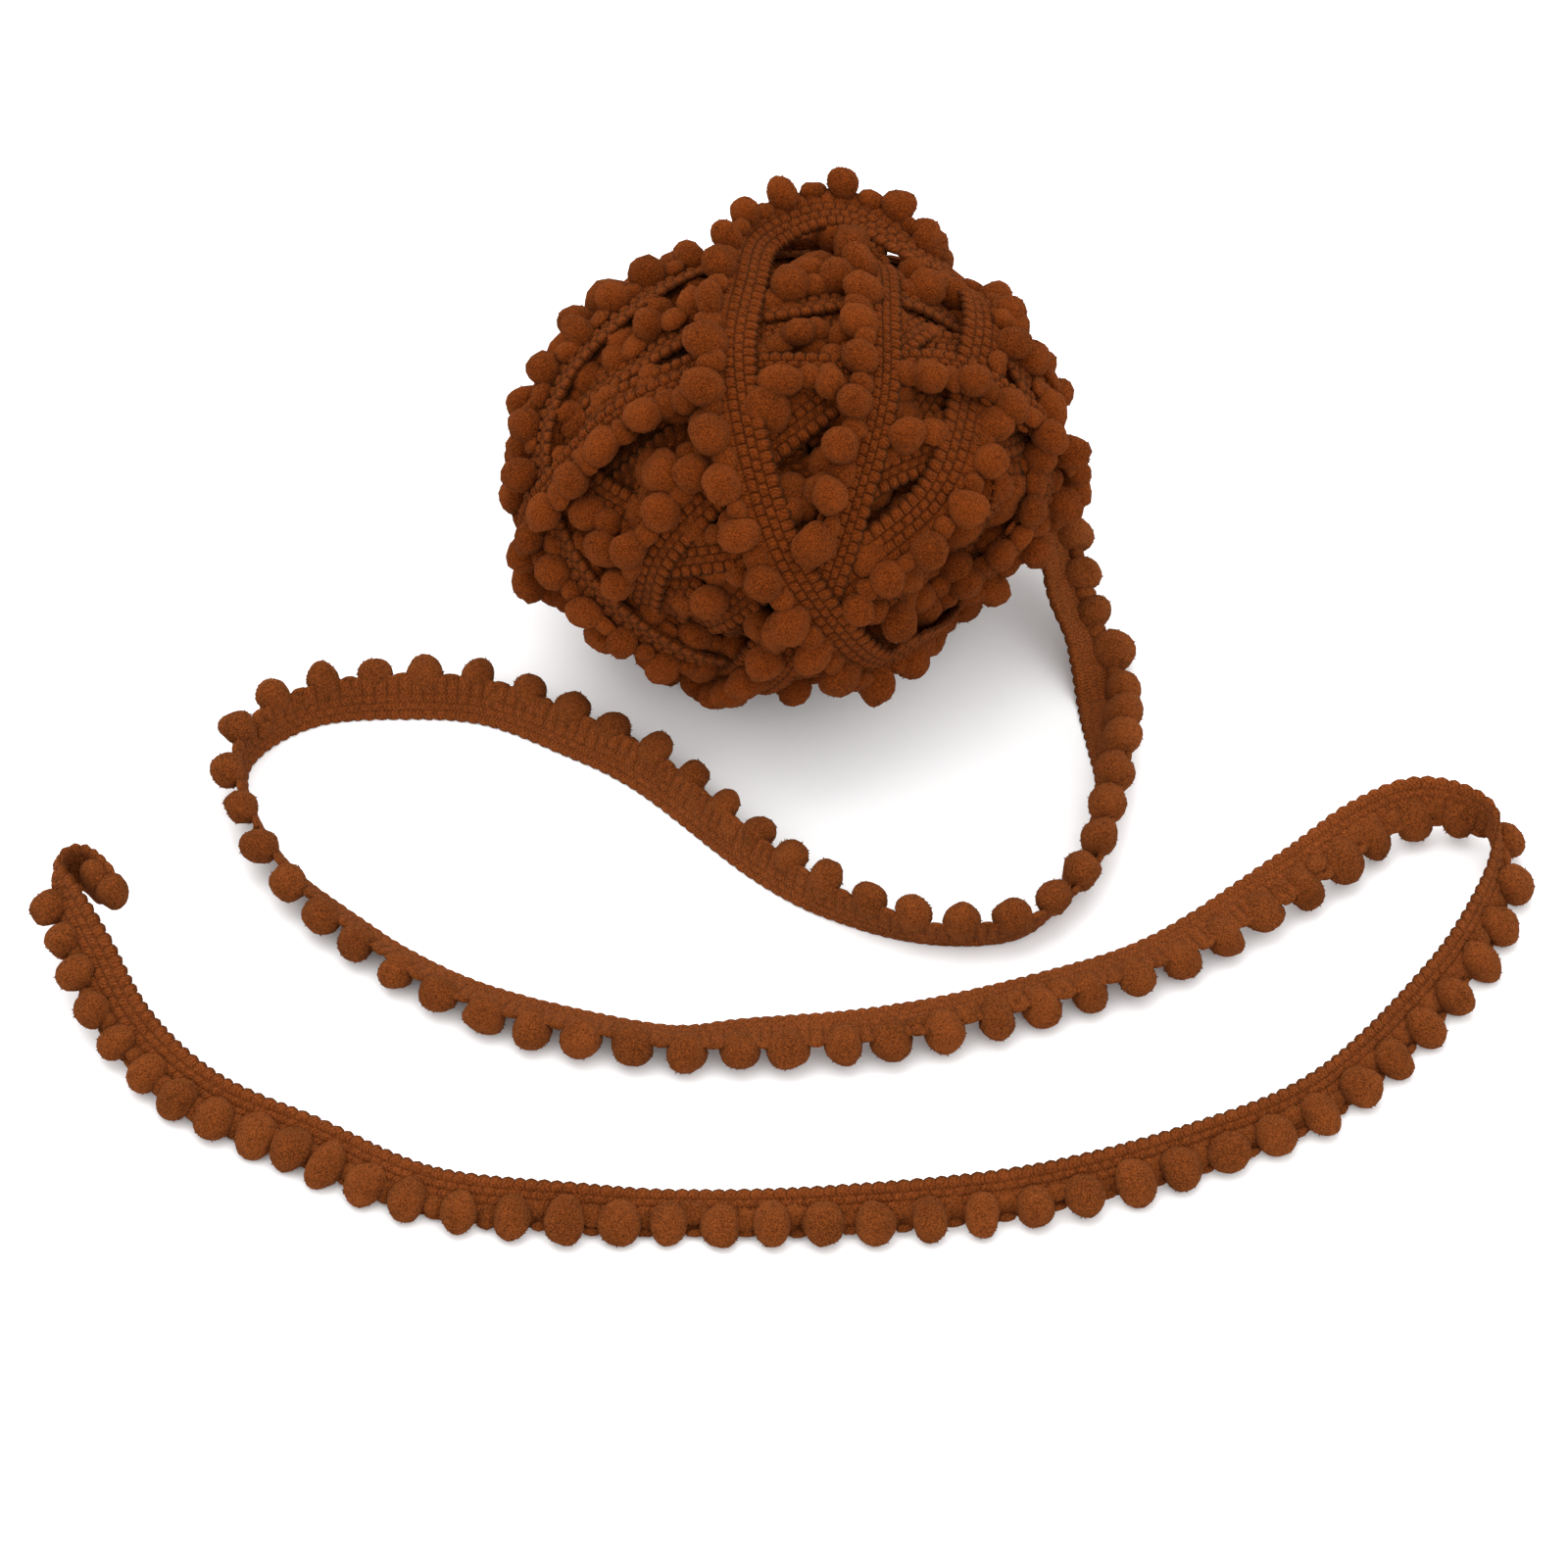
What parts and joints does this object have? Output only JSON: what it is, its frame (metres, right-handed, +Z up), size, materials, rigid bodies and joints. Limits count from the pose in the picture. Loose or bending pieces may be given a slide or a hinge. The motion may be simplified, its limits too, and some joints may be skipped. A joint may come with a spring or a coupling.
{
  "type": "pompom fringe trim",
  "caption": "Narrow woven trim with a row of small velvety pompoms along one edge, wound by hand into a loose ball with one long tail lying in an S on the table.",
  "frame": {"origin": "middle of the flat spot that the wound ball rests on", "axes": "+Z up from the table, the tail lies towards -Y of the ball, +X is to the right seen from the tail's side"},
  "size_m": [0.2425, 0.1762, 0.0717],
  "materials": {
    "ball": "matte velvety pile",
    "tape": "matte knitted yarn",
    "pompom": "matte velvety pile"
  },
  "bodies": {
    "root": {"wound_ball": "ball", "tail_tape": "tape", "tail_pompoms": "pompom"}
  },
  "joints": []
}
